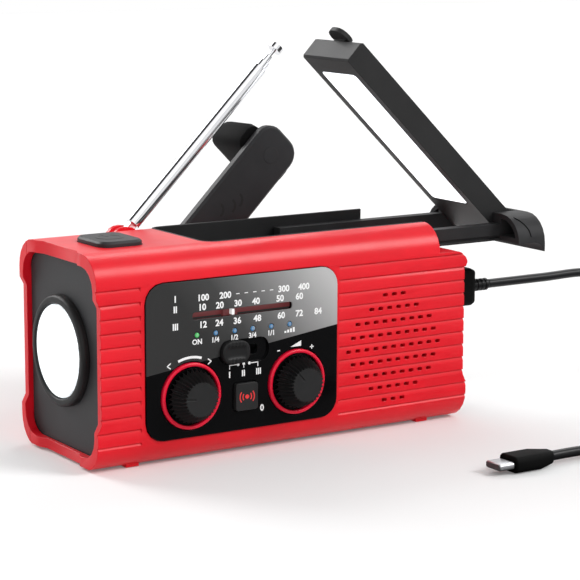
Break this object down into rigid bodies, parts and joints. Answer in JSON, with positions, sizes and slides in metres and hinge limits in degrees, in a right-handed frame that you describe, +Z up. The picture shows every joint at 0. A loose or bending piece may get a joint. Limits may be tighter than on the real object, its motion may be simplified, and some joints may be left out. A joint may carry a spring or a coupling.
{
  "type": "weather radio",
  "caption": "Hand-cranked weather radio with tuning dial, speaker grille, flashlight, sliding fold-up solar lamp, telescopic antenna, folding crank and charging lead.",
  "frame": {"origin": "middle of the case's flat underside", "axes": "+X along the case towards the port end, +Y from the dial towards the crank, +Z up"},
  "size_m": [0.3115, 0.1706, 0.1506],
  "materials": {
    "red_plastic": "satin-gloss moulded red plastic",
    "red_ring": "glossy red plastic ring",
    "black_plastic": "matte black plastic",
    "dark_plastic": "matte dark grey plastic",
    "glossy_black": "mirror-gloss black plastic",
    "white_plastic": "plain white plastic",
    "clear_lens": "clear plastic",
    "bright_metal": "bright plated metal",
    "steel": "plain steel",
    "brass": "plain brass",
    "circuit_board": "green circuit board",
    "battery_wrap": "blue shrink wrap",
    "solar_glass": "dark blue solar cell under clear resin",
    "soft_black": "soft black cable jacket"
  },
  "bodies": {
    "case": {"front_shell": "red_plastic", "rear_shell": "red_plastic", "lamp_bay": "black_plastic", "flashlight_panel": "dark_plastic", "port_panel": "dark_plastic", "flashlight_bezel": "black_plastic", "flashlight_lens": "clear_lens", "flashlight_reflector": "bright_metal", "flashlight_led": "white_plastic", "dial_plate": "glossy_black", "tuning_ring": "red_ring", "volume_ring": "red_ring", "band_switch": "steel", "sos_switch": "steel", "indicator_lights": "white_plastic", "main_board": "circuit_board", "tuning_capacitor": "white_plastic", "volume_control": "steel", "speaker": "black_plastic", "speaker_magnet": "steel", "battery_pack": "battery_wrap", "gear_bracket": "steel", "generator": "steel", "antenna_pivot_pin": "steel", "usb_socket": "steel", "charge_socket": "steel", "usb_plug_shell": "steel", "usb_plug_grip": "soft_black", "usb_strain_relief": "soft_black", "charge_cord": "soft_black", "device_plug_grip": "soft_black", "device_plug_tip": "steel"},
    "tuning": {"tuning_knob": "black_plastic", "tuning_shaft": "steel"},
    "pointer": {"dial_pointer": "white_plastic"},
    "volume": {"volume_knob": "black_plastic", "volume_shaft": "steel"},
    "band": {"band_slider": "black_plastic"},
    "alarm": {"sos_button": "dark_plastic"},
    "power": {"power_button": "dark_plastic"},
    "crank_hub": {"crank_hub": "black_plastic", "crank_gear": "white_plastic"},
    "crank_arm": {"crank_arm": "dark_plastic", "crank_fold_pin": "steel"},
    "crank_handle": {"crank_handle": "black_plastic", "crank_handle_axle": "black_plastic"},
    "idler": {"idler_gear": "white_plastic"},
    "generator_rotor": {"generator_pinion": "brass"},
    "antenna_1": {"antenna_section_1": "bright_metal"},
    "antenna_2": {"antenna_section_2": "bright_metal"},
    "antenna_3": {"antenna_section_3": "bright_metal"},
    "antenna_4": {"antenna_section_4": "bright_metal"},
    "carriage": {"lamp_carriage": "black_plastic", "lamp_hinge_pin": "steel"},
    "lamp": {"lamp_housing": "dark_plastic", "lamp_cover": "clear_lens", "lamp_led_strip": "white_plastic", "solar_cell": "solar_glass"}
  },
  "joints": [
    {"name": "tuning_turn", "type": "hinge", "parent": "case", "child": "tuning", "pos_m": [-0.043, -0.0305, 0.0244], "axis": [0, 1, 0], "range_deg": [-117, 178]},
    {"name": "pointer_slide", "type": "slide", "parent": "case", "child": "pointer", "axis": [1, 0, 0], "range_m": [-0.0158, 0.024]},
    {"name": "volume_turn", "type": "hinge", "parent": "case", "child": "volume", "pos_m": [0.0015, -0.0305, 0.0244], "axis": [0, 1, 0], "range_deg": [-150, 150]},
    {"name": "band_slide", "type": "slide", "parent": "case", "child": "band", "axis": [1, 0, 0], "range_m": [0, 0.0083]},
    {"name": "alarm_press", "type": "slide", "parent": "case", "child": "alarm", "axis": [0, 1, 0], "range_m": [0, 0.001], "stiffness_N_per_m": 800, "springref_m": -0.001},
    {"name": "power_press", "type": "slide", "parent": "case", "child": "power", "axis": [0, 0, -1], "range_m": [0, 0.001], "stiffness_N_per_m": 800, "springref_m": -0.001},
    {"name": "crank_turn", "type": "hinge", "parent": "case", "child": "crank_hub", "pos_m": [-0.0184, 0.03, 0.0481], "axis": [0, 1, 0], "continuous": true},
    {"name": "crank_fold", "type": "hinge", "parent": "crank_hub", "child": "crank_arm", "pos_m": [-0.0184, 0.0325, 0.0481], "axis": [-0.7071, 0, 0.7071], "range_deg": [0, 140]},
    {"name": "handle_spin", "type": "hinge", "parent": "crank_arm", "child": "crank_handle", "pos_m": [0.03251, 0.0405, 0.09901], "axis": [0, 1, 0], "continuous": true},
    {"name": "idler_spin", "type": "hinge", "parent": "case", "child": "idler", "pos_m": [-0.00194, 0.0174, 0.0386], "axis": [0, 1, 0], "continuous": true},
    {"name": "generator_spin", "type": "hinge", "parent": "case", "child": "generator_rotor", "pos_m": [0.01605, 0.0174, 0.0386], "axis": [0, 1, 0], "continuous": true},
    {"name": "antenna_tilt", "type": "hinge", "parent": "case", "child": "antenna_1", "pos_m": [-0.0392, 0.0266, 0.0738], "axis": [0, -1, 0], "range_deg": [-45, 45]},
    {"name": "antenna_slide_2", "type": "slide", "parent": "antenna_1", "child": "antenna_2", "axis": [0.7071, 0, 0.7071], "range_m": [0, 0.068]},
    {"name": "antenna_slide_3", "type": "slide", "parent": "antenna_2", "child": "antenna_3", "axis": [0.7071, 0, 0.7071], "range_m": [0, 0.068]},
    {"name": "antenna_slide_4", "type": "slide", "parent": "antenna_3", "child": "antenna_4", "axis": [0.7071, 0, 0.7071], "range_m": [0, 0.068]},
    {"name": "carriage_slide", "type": "slide", "parent": "case", "child": "carriage", "axis": [1, 0, 0], "range_m": [-0.038, 0]},
    {"name": "lamp_hinge", "type": "hinge", "parent": "carriage", "child": "lamp", "pos_m": [0.1111, 0.002, 0.07205], "axis": [0, 1, 0], "range_deg": [-43.9, 48]}
  ],
  "couplings": [
    {"joint": "pointer_slide", "follows": "tuning_turn", "m_per_rad": 0.0077},
    {"joint": "idler_spin", "follows": "crank_turn", "ratio": -2.8},
    {"joint": "generator_spin", "follows": "crank_turn", "ratio": 7.28}
  ]
}
